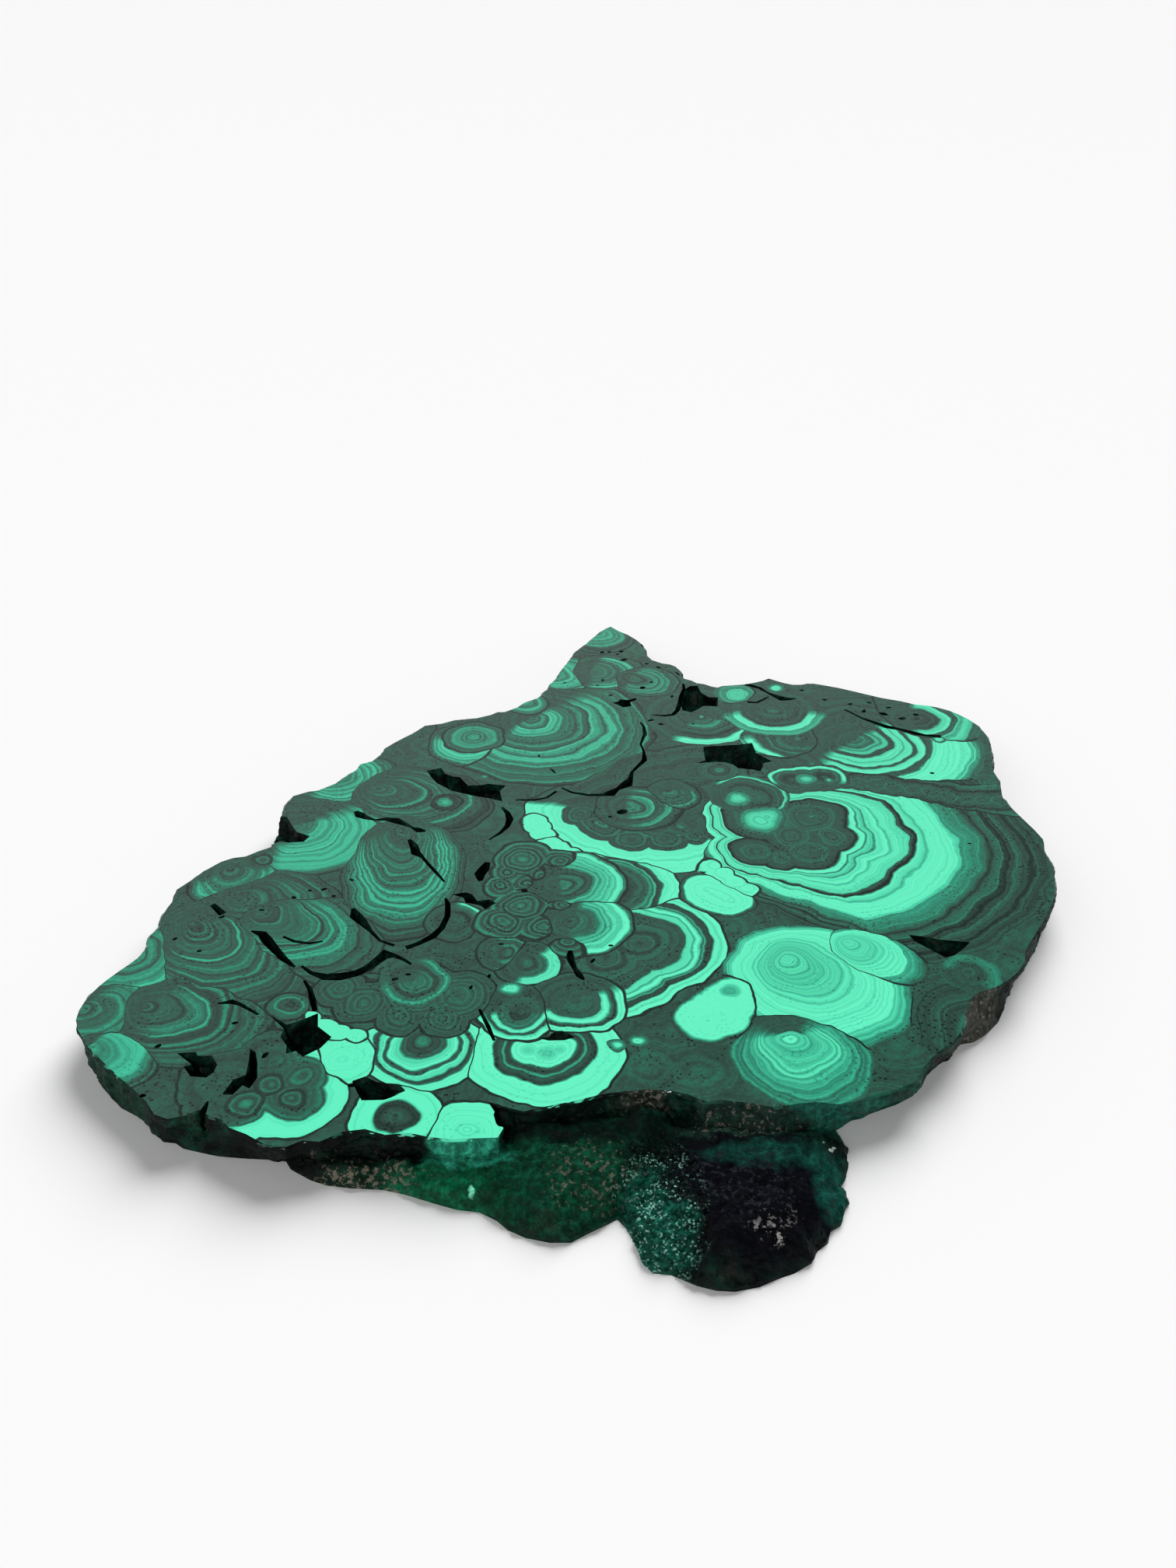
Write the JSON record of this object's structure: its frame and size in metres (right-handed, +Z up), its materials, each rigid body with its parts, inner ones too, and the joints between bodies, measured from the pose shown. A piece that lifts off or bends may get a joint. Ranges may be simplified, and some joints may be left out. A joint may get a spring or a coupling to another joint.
{
  "type": "polished malachite slab",
  "caption": "Flat slice of banded green malachite with a polished face, a sawn base, a knobbly natural edge and open pits.",
  "frame": {"origin": "middle of the bounding box in plan, on the sawn base that the slab rests on", "axes": "+Z up out of the polished face, +Y from the front lobe to the prong at the back, +X to the right"},
  "size_m": [0.2032, 0.2332, 0.008],
  "materials": {
    "polished_malachite": "polished face with light and dark green bands, natural rough skin at the edge"
  },
  "bodies": {
    "root": {"malachite_slab": "polished_malachite"}
  },
  "joints": []
}
